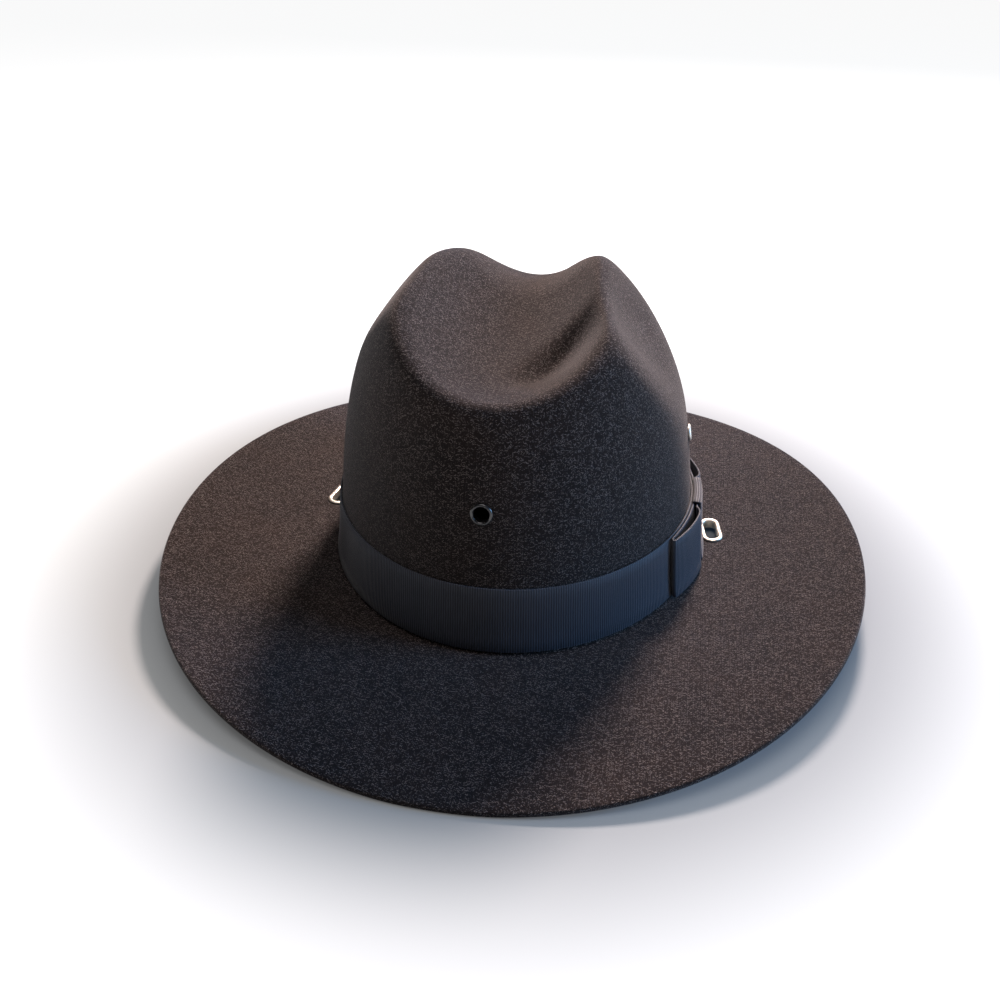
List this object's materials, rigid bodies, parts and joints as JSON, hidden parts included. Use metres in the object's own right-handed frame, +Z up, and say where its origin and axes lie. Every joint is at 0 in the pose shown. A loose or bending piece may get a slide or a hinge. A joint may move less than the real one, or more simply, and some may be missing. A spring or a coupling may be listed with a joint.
{
  "type": "campaign hat",
  "caption": "Wide-brimmed felt campaign hat with a dented crown, a ribbed band with a flat side bow, a badge eyelet, vent eyelets and strap slots.",
  "frame": {"origin": "on the surface the hat stands on, under the middle of the brim", "axes": "-Y is the hat's front, +X the wearer's left, +Z up through the crown"},
  "size_m": [0.3406, 0.3578, 0.1473],
  "materials": {
    "felt": "brushed fur felt, very dark brown",
    "ribbon": "ribbed silk ribbon, blue-black, satin",
    "black_enamel": "gloss black enamel",
    "pale_metal": "satin"
  },
  "bodies": {
    "root": {"felt_body": "felt", "hat_band": "ribbon", "bow_front_loop": "ribbon", "bow_back_loop": "ribbon", "bow_knot": "ribbon", "badge_eyelet": "black_enamel", "vent_eyelet_left": "pale_metal", "vent_eyelet_right": "pale_metal", "strap_eyelet_left": "pale_metal", "strap_eyelet_right": "pale_metal"}
  },
  "joints": []
}
